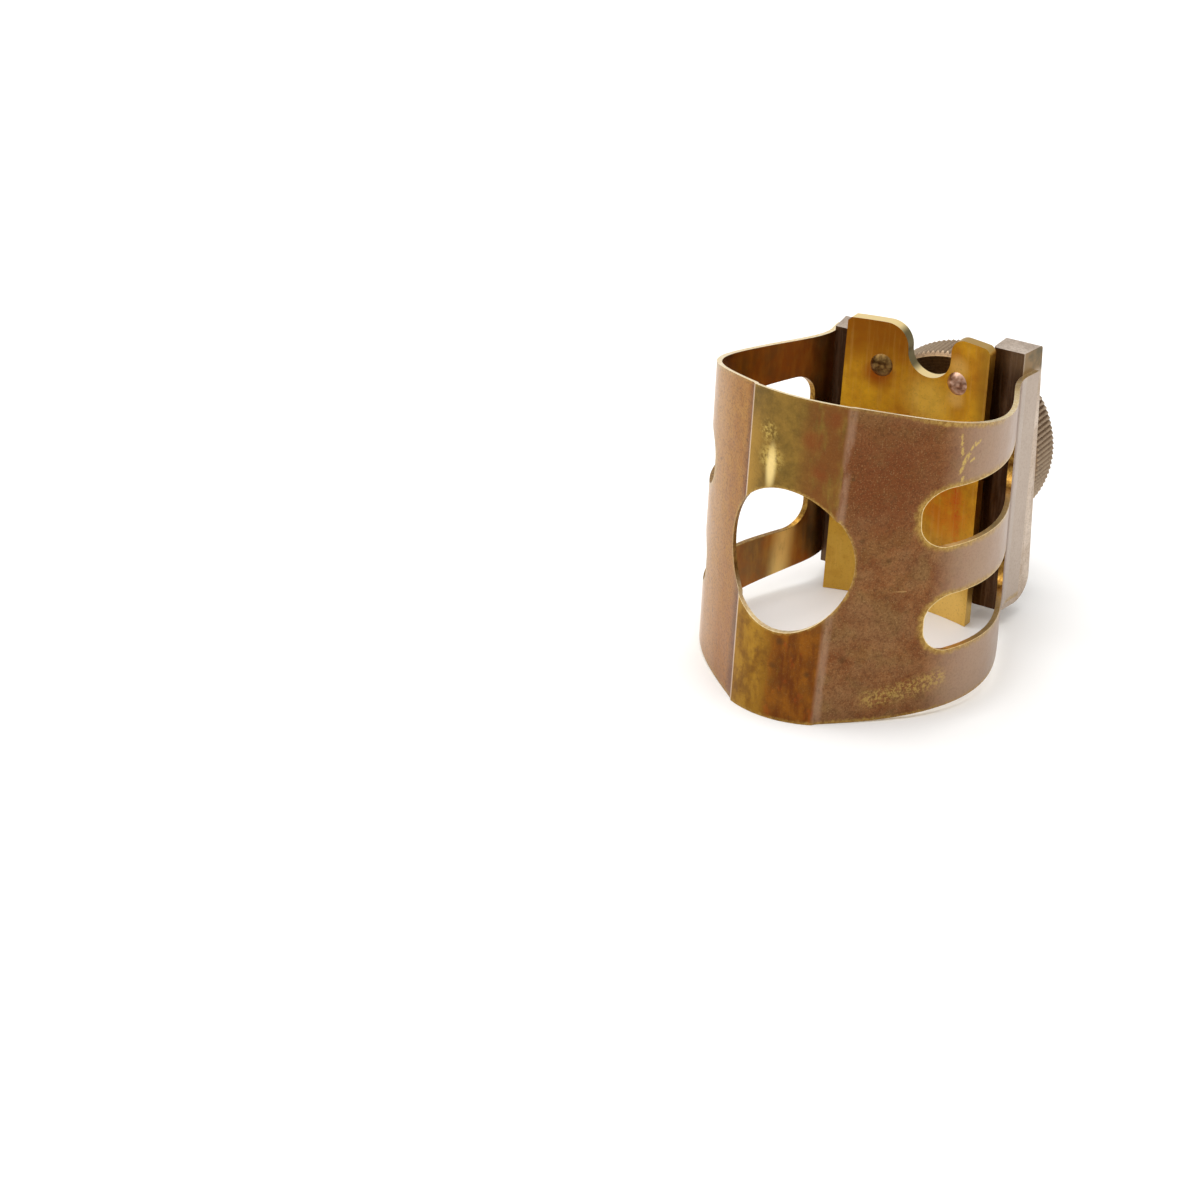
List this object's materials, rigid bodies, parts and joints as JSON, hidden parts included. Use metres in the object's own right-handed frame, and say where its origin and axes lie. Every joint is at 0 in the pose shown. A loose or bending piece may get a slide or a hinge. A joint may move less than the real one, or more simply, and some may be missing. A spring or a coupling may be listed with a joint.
{
  "type": "saxophone ligature",
  "caption": "Bent brass clamp that holds a reed on a saxophone mouthpiece, with a knurled thumbscrew pushing a curved pressure plate.",
  "frame": {"origin": "centre of the mouthpiece opening at the level of the wrap band's lower edge", "axes": "+Z along the mouthpiece towards its tip, +Y towards the thumbscrew, -Y towards the raised front panel, X across"},
  "size_m": [0.0266, 0.037, 0.0286],
  "materials": {
    "sheet_brass": "aged sheet brass, brown and olive tarnish, worn bright on the cut edges",
    "bar_brass": "dull grey brown tarnished bar",
    "plate_brass": "warm golden lacquered plate with orange stains",
    "rivet_brass": "rubbed domed heads",
    "screw_brass": "grey brown tarnished turned brass"
  },
  "bodies": {
    "clamp": {"band": "sheet_brass", "rail_left": "bar_brass", "rail_right": "bar_brass", "bridge": "bar_brass", "screw_bush": "bar_brass"},
    "plate": {"pressure_plate": "plate_brass", "plate_strap": "plate_brass", "rivet_left": "rivet_brass", "rivet_right": "rivet_brass"},
    "screw": {"screw_shank": "screw_brass", "screw_button": "screw_brass", "screw_head": "screw_brass"}
  },
  "joints": [
    {"name": "plate_travel", "type": "slide", "parent": "clamp", "child": "plate", "axis": [0, -1, 0], "range_m": [-0.00045, 0.00135]},
    {"name": "screw_turn", "type": "hinge", "parent": "plate", "child": "screw", "pos_m": [0, 0.0213, 0.0133], "axis": [0, -1, 0], "range_deg": [-231.4, 694.3]}
  ],
  "couplings": [
    {"joint": "plate_travel", "follows": "screw_turn", "m_per_rad": 0.00011141}
  ]
}
